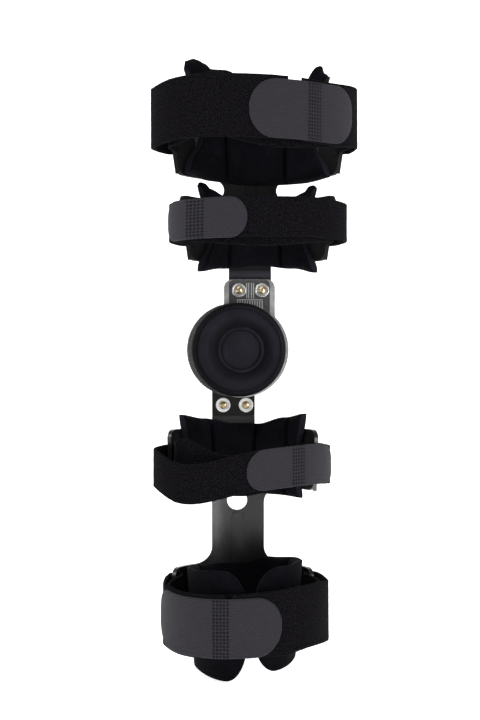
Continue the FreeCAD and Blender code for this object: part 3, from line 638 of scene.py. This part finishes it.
class Strap:
    """One closure: a loop strap threaded through two wing slots and shut by a hook tab.

    Angles are in degrees from the front of the strap, towards +X; sizes are in millimetres.
    tab_side: 1 if the strap's outer end is on the +X side; tab_sweep: the tab's two ends;
    ends: where the webbing's two ends stop on the outer run; band_at: the weld band's middle;
    depth: the outer run's half depth; tilt: the rise of the +X side; sags lift the outer
    run, gaps set the inner run in from it and drops lift the inner run, as bell curves;
    tab_drop: how far the tab's two ends hang below the strap; band_w: the weld band's width.
    """

    def __init__(self, key, part, tab_side, tab_sweep, ends, band_at, depth, tilt, sags, gaps, drops,
                 tab_drop=(0.0, 0.0), band_w=12.0):
        self.key = key
        self.part = part
        self.tab_side = tab_side
        self.tab_sweep = tab_sweep
        self.ends = ends
        self.band_at = band_at
        self.depth = depth
        self.tilt = tilt
        self.sags = sags
        self.gaps = gaps
        self.drops = drops
        self.tab_drop = tab_drop
        self.band_w = band_w
        low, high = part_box("strap_" + key)
        self.width = (high[2] - low[2]) / MM
        self.z = (high[2] + low[2]) / 2 / MM
        self.x = (high[0] + low[0]) / 2 / MM
        self.half_w = (high[0] - low[0]) / 2 / MM - STRAP_CLEAR
        self.front = low[1] / MM + STRAP_CLEAR

    def height(self, degrees):
        loose = smooth_step((FOLD_DEG - abs(degrees)) / 50)
        slope = self.tilt * math.sin(math.radians(degrees))
        return self.z + (slope + bump_sum(self.sags, degrees)) * (0.15 + 0.85 * loose)

    def point(self, degrees, offset):
        """On the outer run of the strap, offset outwards, in millimetres."""
        a = math.radians(degrees)
        return Vector((self.x + (self.half_w + offset) * math.sin(a),
                       self.front + self.depth - (self.depth + offset) * math.cos(a),
                       self.height(degrees)))

    def inner_point(self, degrees):
        gap = bump_sum(self.gaps, degrees)
        point = self.point(degrees, -WEB_T / 2 - 0.2 - gap)
        point.z += bump_sum(self.drops, degrees)
        return point

    def path(self):
        """From the end in the tab, round its side, across inside, and back outside."""
        side = self.tab_side
        out = WEB_T / 2 + 0.15
        first, last = self.ends
        points = []
        angle = first
        while angle < 84:
            points.append(self.point(side * angle, out))
            angle += 7
        turn = tip_turn(self.part, side, self.z, EYE_R)
        points += [Vector((p.x, p.y, self.height(side * 90))) for p in turn]
        for step in range(-74, 75, 8):
            points.append(self.inner_point(-side * step))
        turn = tip_turn(self.part, -side, self.z, EYE_R)
        points += [Vector((p.x, p.y, self.height(-side * 90))) for p in reversed(turn)]
        angle = 82
        while angle > -last:
            points.append(self.point(-side * angle, out))
            angle -= 7
        points.append(self.point(side * last, out))
        return [p * MM for p in points]

    def webbing(self, material):
        """The webbing along its path: a flat section with round edges and a slightly rough face."""
        path = spline_points(self.path(), STRAP_GRID * MM)
        half_w = self.width / 2 * MM
        section = self.section(half_w, WEB_T / 2 * MM)
        verts, flat = [], []
        up = Vector((0, 0, 1))
        for i, p in enumerate(path):
            ahead = path[min(i + 1, len(path) - 1)] - path[max(i - 1, 0)]
            ahead.z = 0
            out = ahead.normalized().cross(up) * self.tab_side
            for s, n in section:
                at = p + up * s + out * n
                fuzz = noise.noise(at * 900) * 0.00022 + noise.noise(at * 210) * 0.00030
                ripple = noise.noise(Vector((i * 0.045, 0, self.z))) * 0.0010 * (s / half_w)
                verts.append(at + out * (math.copysign(fuzz, n) + ripple) + up * fuzz * 0.5)
                flat.append((i * STRAP_GRID * MM, s, math.copysign(0.1, n)))
        size = len(section)
        faces = []
        for i in range(len(path) - 1):
            for j in range(size):
                k = (j + 1) % size
                faces.append((i * size + j, i * size + k, (i + 1) * size + k, (i + 1) * size + j))
        end = (len(path) - 1) * size
        faces.append(tuple(reversed(range(size))))
        faces.append(tuple(end + j for j in range(size)))
        piece = mesh_object("webbing_" + self.key, verts, faces, material, flat)
        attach(piece, self.part)
        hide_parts("strap_" + self.key)

    def section(self, half_w, half_t):
        """The webbing's outline, as (across, outwards) points in metres."""
        across = max(4, round(self.width / STRAP_GRID))
        section = []
        for face in (1, -1):
            for j in range(across + 1):
                section.append((face * (-1 + 2 * j / across) * (half_w - half_t), face * half_t))
            for degrees in (60, 20, -20, -60):
                t = math.radians(degrees)
                across_at = half_w - half_t + half_t * math.cos(t)
                section.append((face * across_at, face * half_t * math.sin(t)))
        return section

    def tab_centre(self):
        """Even points along the tab's middle, in metres."""
        start, stop = self.tab_sweep
        centre = []
        for i in range(TAB_STEPS + 1):
            share = i / TAB_STEPS
            p = self.point(start + (stop - start) * share, TAB_OFFSET) * MM
            p.z -= (self.tab_drop[0] + (self.tab_drop[1] - self.tab_drop[0]) * share) * MM
            centre.append(p)
        return spline_points(centre, TAB_GRID * MM)

    def band_index(self, path):
        """Where the weld band's middle is along the tab."""
        middle = self.point(self.band_at, TAB_OFFSET) * MM
        return min(range(len(path)), key=lambda i: (path[i] - middle).length)

    def tab(self, material):
        """A rounded hook tab on the outer run, with its welded band of pits."""
        path = self.tab_centre()
        band = self.band_index(path)
        length = (len(path) - 1) * TAB_GRID * MM
        low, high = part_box("tab_" + self.key)
        half_h = (high[2] - low[2]) / 2
        nose = half_h * TAB_NOSE
        across = max(6, round(2 * half_h / (TAB_GRID * MM)))
        up = Vector((0, 0, 1))
        middle = Vector((self.x, self.front + self.depth, self.z)) * MM
        front, back, flat = [], [], []
        for i, p in enumerate(path):
            u = i * TAB_GRID * MM
            ahead = path[min(i + 1, len(path) - 1)] - path[max(i - 1, 0)]
            ahead.z = 0
            out = ahead.normalized().cross(up)
            if out.dot(p - middle) < 0:
                out = -out
            near = min(u, length - u)
            round_off = 1.0
            if near < nose:
                round_off = max(0.03, 1 - (1 - near / nose) ** 2.1) ** (1 / 2.1)
            column = (i - band) * TAB_GRID / self.band_w * WELD_COLUMNS
            rows_front, rows_back, cells = [], [], []
            for j in range(across + 1):
                share = -1 + 2 * j / across
                s = share * half_h * round_off
                rim = min((1 - abs(share)) * half_h, near) / (TAB_RIM * MM)
                lift = TAB_HALF_T * MM * round_profile(rim) + weld_dent(column, s, half_h)
                wave = noise.noise(Vector((u * 26, s * 30, self.z))) * 0.0006
                rows_front.append(p + up * s + out * (lift + wave))
                rows_back.append(p + up * s + out * (-TAB_HALF_T * MM + wave))
                cells.append((u, s, column))
            front.append(rows_front)
            back.append(rows_back)
            flat.append(cells)
        piece = closed_grid("hook_tab_" + self.key, front, back, material, flat)
        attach(piece, self.part)
        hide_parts("tab_" + self.key)


def weld_dent(column, s, half_h):
    """The height of the weld band at a column and a place across, in metres: pits in a raised band."""
    if abs(column) >= WELD_COLUMNS / 2:
        return 0.0
    pit = 1.0
    for place in (column, s / (WELD_PITCH * MM)):
        pit *= smooth_step((0.34 - abs((place + 0.5) % 1.0 - 0.5)) / 0.16)
    edge = smooth_step((half_h - abs(s)) / (1.8 * MM))
    return (WELD_RAISED - WELD_DEPTH * pit) * MM * edge


def make_straps():
    return [
        Strap("thigh_upper", "thigh", tab_side=1, tab_sweep=(-3.0, 65.0), ends=(26.0, 19.0),
              band_at=33.0, depth=60.0, tilt=-1.0,
              sags=[(1.5, -38, 26), (-3.5, -84, 22), (-2.5, 48, 26)],
              gaps=[(9.0, -62, 26), (8.0, 5, 40)], drops=[(3.5, -26, 18), (-5.0, 15, 26)],
              tab_drop=(2.2, -0.5)),
        Strap("thigh_lower", "thigh", tab_side=-1, tab_sweep=(-80.0, -7.0), ends=(20.0, 17.0),
              band_at=-43.0, depth=56.0, tilt=0.0,
              sags=[(1.0, 40, 30)], gaps=[(5.0, 0, 40), (6.0, 66, 22)], drops=[(-6.5, 5, 48)],
              band_w=19.0),
        Strap("calf_upper", "calf", tab_side=1, tab_sweep=(3.0, 80.0), ends=(20.0, 17.0),
              band_at=37.0, depth=55.0, tilt=5.0,
              sags=[(-9.0, -34, 30)], gaps=[(14.0, -62, 30), (12.0, -15, 28)],
              drops=[(17.0, -48, 27), (-4.0, 5, 18)]),
        Strap("calf_lower", "calf", tab_side=-1, tab_sweep=(-80.0, 24.0), ends=(14.0, 10.0),
              band_at=-16.0, depth=60.0, tilt=4.0,
              sags=[(-1.5, -20, 40)], gaps=[(4.0, 30, 30)], drops=[(-4.0, 30, 26)],
              tab_drop=(-0.8, 2.6), band_w=14.0),
    ]


# ---------------------------------------------------------------- liners

# Sizes in millimetres; LINER_EDGE is the foam's thickness along its top and bottom edges,
# and LINER_SIDE is what is left of the thickness at its two sides, as a share
LINER_GAP = 1.6
LINER_T = 8.0
LINER_CROWN = 2.2
LINER_EDGE = 2.6
LINER_THIN = 1.2
LINER_SIDE = 0.62
LINER_ROWS = 46
LINER_COLS = 110
WRAP_COLS = 260
FLAP_POWER = 2.3


def along(controls, at):
    """A smooth curve through (place, value) controls, in order of place."""
    if at <= controls[0][0]:
        return controls[0][1]
    for (x0, y0), (x1, y1) in zip(controls, controls[1:]):
        if at <= x1:
            return y0 + (y1 - y0) * smooth_step((at - x0) / (x1 - x0))
    return controls[-1][1]


class Liner:
    """A foam liner on its shell, in millimetres and degrees from the shell's middle line.

    Places across are shares from -1 to 1, and places up are shares from 0 to 1.
    half_sweeps: half angles at places up; bottom and top: how far the edges stand from the
    CAD liner's at places across; seams: the sewn channels' angles at the top, which lean by
    seam_lean lower down; inset: an extra gap to the shell; flaps: the ends' rounding, by side;
    turn and shift: an off-centre wrap; squeeze: how narrow it is at the bottom and at the top.
    """

    def __init__(self, key, part, half_sweeps, bottom, top, seams, seam_lean=0.0, inset=0.0, flaps=(),
                 turn=0.0, squeeze=(1.0, 1.0), shift=0.0):
        self.key = key
        self.part = part
        self.half_sweeps = half_sweeps
        self.bottom = bottom
        self.top = top
        self.seams = seams
        self.seam_lean = seam_lean
        self.inset = inset
        self.flaps = flaps
        self.turn = turn
        self.squeeze = squeeze
        self.shift = shift
        low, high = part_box("liner_" + key)
        self.low, self.high = low[2] / MM, high[2] / MM

    def edge_heights(self, u):
        """The liner's lower and upper edges at a place across."""
        low = self.low + along(self.bottom, u)
        high = self.high + along(self.top, u)
        for side, round_mm in self.flaps:
            if u * side <= 0:
                continue
            from_end = (1 - abs(u)) * math.radians(self.half_sweeps[0][1]) * LEG_PARTS[self.part][3][0]
            if from_end < round_mm:
                share = max(0.02, 1 - (1 - from_end / round_mm) ** FLAP_POWER) ** (1 / FLAP_POWER)
                middle, half = (low + high) / 2, (high - low) / 2
                low, high = middle - half * share, middle + half * share
        return low, high

    def squeezed(self, point, v):
        """Drawn in towards the leg across, by a share at the bottom and one at the top."""
        middle = LEG_PARTS[self.part][0] * MM
        share = self.squeeze[0] + (self.squeeze[1] - self.squeeze[0]) * v
        point.x = middle + (point.x - middle) * share + self.shift * MM
        return point

    def groove(self, degrees, v, radius):
        """How deep in a sewn channel a place is, from 0 to 1: a thread line in a wide valley."""
        groove = 0.0
        for seam in self.seams:
            at = seam + self.seam_lean * (1 - v) * (1 if seam > 0 else -1)
            distance = abs(degrees - at) * math.radians(1) * radius
            line = math.exp(-(distance / 1.5) ** 2)
            valley = 0.35 * math.exp(-(distance / 7.0) ** 2)
            groove = max(groove, line + valley)
        return min(1.0, groove)

    def thickness(self, degrees, z, groove, from_end, from_side):
        """The foam's thickness: crowned between channels, creased, and thin at its edges."""
        swell = round_profile(from_end / 8.0)
        here = on_shell(self.part, degrees, z, 0) / MM
        crease = noise.noise(here * 0.055) * 1.4 + noise.noise(here * 0.16) * 0.55
        thick = LINER_EDGE + (LINER_T - LINER_EDGE + LINER_CROWN * (1 - groove) + crease) * swell
        thick -= groove * (LINER_T * 0.62) * swell
        thick *= LINER_SIDE + (1 - LINER_SIDE) * round_profile(from_side / 3.0)
        return max(LINER_THIN, thick)

    def build(self, materials):
        cols = WRAP_COLS if self.flaps else LINER_COLS
        inset = SHELL_T + LINER_GAP + self.inset
        front, back = [], []
        for i in range(LINER_ROWS + 1):
            v = i / LINER_ROWS
            half_sweep = along(self.half_sweeps, v)
            rows_front, rows_back = [], []
            for j in range(cols + 1):
                u = -1 + 2 * j / cols
                low, high = self.edge_heights(u)
                z = low + (high - low) * v
                degrees = half_sweep * u + self.turn
                radius = shell_radius(self.part, z)
                from_side = (1 - abs(u)) * math.radians(half_sweep) * radius
                from_end = min(v, 1 - v) * (high - low)
                groove = self.groove(degrees, v, radius)
                thick = self.thickness(degrees, z, groove, from_end, from_side)
                inner = on_shell(self.part, degrees, z, inset + thick)
                outer = on_shell(self.part, degrees, z, inset + 0.2)
                rows_front.append(self.squeezed(inner, v))
                rows_back.append(self.squeezed(outer, v))
            front.append(rows_front)
            back.append(rows_back)
        piece = closed_grid("padding_" + self.key, back, front, materials["liner"],
                            side_material=materials["liner_edge"])
        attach(piece, self.part)
        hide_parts("liner_" + self.key)


def make_liners():
    return [
        Liner("thigh_upper", "thigh",
              half_sweeps=[(0.0, 64), (0.38, 43), (0.75, 43), (1.0, 50)],
              bottom=[(-1.0, 10.5), (-0.55, 7.0), (0.0, 5.0), (0.55, 5.0), (1.0, 7.0)],
              top=[(-1.0, 4.0), (-0.96, 11.0), (-0.84, 14.0), (-0.72, 12.0), (-0.62, 7.5),
                   (-0.40, 8.0), (-0.05, -3.0), (0.70, -4.0), (0.84, 8.0), (0.90, 1.0), (1.0, -3.0)],
              seams=(-21.0, 19.0), seam_lean=4.0),
        Liner("thigh_lower", "thigh",
              half_sweeps=[(0.0, 65), (0.36, 46), (0.7, 46), (1.0, 50)],
              bottom=[(-1.0, 2.0), (-0.5, 6.0), (0.0, 9.5), (0.5, 6.0), (1.0, 1.0)],
              top=[(-1.0, 3.0), (-0.95, 6.0), (-0.86, 2.0), (-0.5, -4.0), (0.0, -8.0), (0.6, -5.0),
                   (0.84, -1.0), (0.93, 3.5), (1.0, 1.0)],
              seams=(-24.0, 19.0), seam_lean=4.0),
        Liner("calf_upper", "calf",
              half_sweeps=[(0.0, 57), (0.4, 50), (1.0, 59)],
              bottom=[(-1.0, 0.0), (-0.5, 1.0), (0.0, 1.0), (0.5, 0.0), (1.0, -1.0)],
              top=[(-1.0, 4.0), (-0.55, 0.0), (-0.15, -5.0), (0.2, -5.0), (0.6, 1.0), (1.0, 5.0)],
              seams=(-28.0, 11.0, 43.0), seam_lean=-2.0),
        Liner("calf_lower", "calf",
              half_sweeps=[(0.0, 178), (1.0, 178)],
              bottom=[(-1.0, -2.0), (-0.85, -2.0), (-0.55, 1.5), (-0.47, 3.5), (-0.30, 14.0),
                      (0.42, 14.0), (0.54, 9.0), (0.85, 5.0), (1.0, 5.0)],
              top=[(-1.0, -2.0), (-0.8, -3.0), (-0.62, -6.0), (-0.40, -9.0), (-0.15, -13.0),
                   (0.03, -14.0), (0.19, -7.0), (0.46, -3.0), (0.66, -0.5), (1.0, 0.0)],
              seams=(-62.0, 60.0), inset=1.8, flaps=((-1, 30.0), (1, 32.0)), turn=-6.0,
              squeeze=(0.77, 0.83), shift=1.5),
    ]


# ---------------------------------------------------------------- condyle pad

# Sizes in millimetres
PAD_TURNS = 180
PAD_STEP = 0.4
PAD_RING_MID, PAD_RING_HALF, PAD_RING_RISE = 18.0, 1.5, 2.8
PAD_SINK = 1.2
PAD_DISH = 3.6
PAD_BULGE = 0.9
PAD_GROOVE_IN, PAD_GROOVE_HALF, PAD_GROOVE_DEPTH = 4.8, 0.65, 1.2
PAD_EDGE_R = 3.6
BASE_TURNS, BASE_ROWS = 480, 16
BASE_RIDGES = 120
BASE_RIDGE_H = 0.45
BASE_ALLOWANCE = 0.9
BASE_SHOULDER = 1.1


def pad_profile(r, ring_r, rim, back, front):
    """The depth of the pad's front at its distances from the rim's centre and the ring's."""
    groove_at = rim - PAD_GROOVE_IN
    y = front + PAD_SINK
    if ring_r > PAD_RING_MID:
        reach = 0.75 * (groove_at - PAD_RING_MID)
        y += PAD_DISH * (1 - smooth_step((ring_r - PAD_RING_MID) / reach))
    else:
        y += PAD_DISH - PAD_BULGE * smooth_step((PAD_RING_MID - ring_r) / 9.0)
    if abs(ring_r - PAD_RING_MID) < PAD_RING_HALF:
        y -= PAD_RING_RISE * math.cos((ring_r - PAD_RING_MID) / PAD_RING_HALF * math.pi / 2)
    y += PAD_GROOVE_DEPTH * math.exp(-((r - groove_at) / PAD_GROOVE_HALF) ** 2)
    y += PAD_EDGE_R * (1 - round_profile((rim - r) / PAD_EDGE_R))
    return min(y, back)


def lathe(name, verts, turns, rows, material):
    """A closed piece from rings of points, with a flat face on each end."""
    faces = []
    for i in range(rows - 1):
        for k in range(turns):
            n = (k + 1) % turns
            faces.append((i * turns + k, (i + 1) * turns + k, (i + 1) * turns + n, i * turns + n))
    faces.append(tuple(range(turns)))
    faces.append(tuple((rows - 1) * turns + k for k in reversed(range(turns))))
    return mesh_object(name, verts, faces, material)


def make_pad(material):
    """The pad's moulded front. Its ring is centred on the hinge's axis and its rim isn't."""
    low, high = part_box("condyle_pad_front")
    rim = (high[0] - low[0]) / 2 / MM
    middle = (high[0] + low[0]) / 2 / MM
    front, back = low[1] / MM, high[1] / MM
    radii = [PAD_STEP]
    while radii[-1] < rim - 4:
        radii.append(radii[-1] + PAD_STEP)
    for degrees in (15, 30, 45, 60, 75, 84, 90):
        radii.append(rim - PAD_EDGE_R + PAD_EDGE_R * math.sin(math.radians(degrees)))
    verts = []
    for r in radii:
        for k in range(PAD_TURNS):
            a = 2 * math.pi * k / PAD_TURNS
            p = Vector((middle + r * math.cos(a), 0, r * math.sin(a)))
            y = pad_profile(r, p.length, rim, back, front)
            y += noise.noise(p * 0.09) * 0.35 + noise.noise(p * 0.5) * 0.08
            verts.append(Vector((p.x, y, p.z)) * MM)
    side = (back - 6, back - 2.0, back - 0.4)
    for y in side:
        for k in range(PAD_TURNS):
            a = 2 * math.pi * k / PAD_TURNS
            r = rim - 0.2 * (y - front) / (back - front)
            verts.append(Vector((middle + r * math.cos(a), y, r * math.sin(a))) * MM)
    piece = lathe("knee_pad_front", verts, PAD_TURNS, len(radii) + len(side), material)
    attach(piece, "thigh")
    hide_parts("condyle_pad_front")


def make_pad_base(material):
    """The disc behind the pad's front, with a ridged, fuzzy side."""
    low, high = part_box("condyle_pad_base")
    centre = Vector(((low[0] + high[0]) / 2, 0, (low[2] + high[2]) / 2)) / MM
    rim = (high[0] - low[0]) / 2 / MM
    front, back = low[1] / MM, high[1] / MM
    verts = []
    for i in range(BASE_ROWS + 1):
        share = i / BASE_ROWS
        y = front + (back - front) * share
        shoulder = BASE_SHOULDER * (1 - round_profile(min(share * 5, (1 - share) * 5)))
        for k in range(BASE_TURNS):
            a = 2 * math.pi * k / BASE_TURNS
            ridge = BASE_RIDGE_H * math.cos(BASE_RIDGES * a + math.sin(share * 9) * 1.2)
            p = Vector((math.cos(a), share * 0.4, math.sin(a)))
            r = rim - BASE_ALLOWANCE + ridge + noise.noise(p * 38) * 0.35 - shoulder
            verts.append((centre + Vector((r * p.x, y, r * p.z))) * MM)
    piece = lathe("knee_pad_base", verts, BASE_TURNS, BASE_ROWS + 1, material)
    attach(piece, "thigh")
    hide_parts("condyle_pad_base")


# ---------------------------------------------------------------- the CAD parts' finishes

CAD_FINISH = {
    "thigh_shell": "dull_shell", "calf_shell": "shell",
    "inner_hinge_plate": "plate", "ribbed_insert": "insert",
    "thigh_arm": "bar", "thrust_washers": "bar", "calf_arm": "black",
    "outer_cover": "cover", "dial_ring": "dial",
    "pivot_pin": "steel", "pivot_cap": "steel", "neck_rivet": "black",
    "thigh_nuts": "steel", "calf_nuts": "steel",
    "flexion_stop_spring": "steel", "extension_stop_spring": "steel",
    "flexion_stop_slider": "slider", "extension_stop_slider": "slider",
    "flexion_stop_button": "button", "extension_stop_button": "button",
    "thigh_cup_washers": "washer", "calf_cup_washers": "pale_washer",
    "thigh_screws": "brass", "calf_screws": "brass",
    "pivot_bush": "bronze", "condyle_pad_hook_disc": "hook",
    "hook_patches_thigh_upper": "hook", "hook_patches_thigh_lower": "hook",
    "hook_patches_calf_upper": "hook", "hook_patches_calf_lower": "hook",
}


def finish_cad(materials):
    for node, key in CAD_FINISH.items():
        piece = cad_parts[node]
        for slot in piece.material_slots:
            slot.material = materials[key]


make_camera()
make_lights()
make_stage()
materials = build_materials()
for strap in make_straps():
    strap.webbing(materials["strap"])
    strap.tab(materials["tab"])
for liner in make_liners():
    liner.build(materials)
make_pad(materials["pad"])
make_pad_base(materials["pad_side"])
finish_cad(materials)
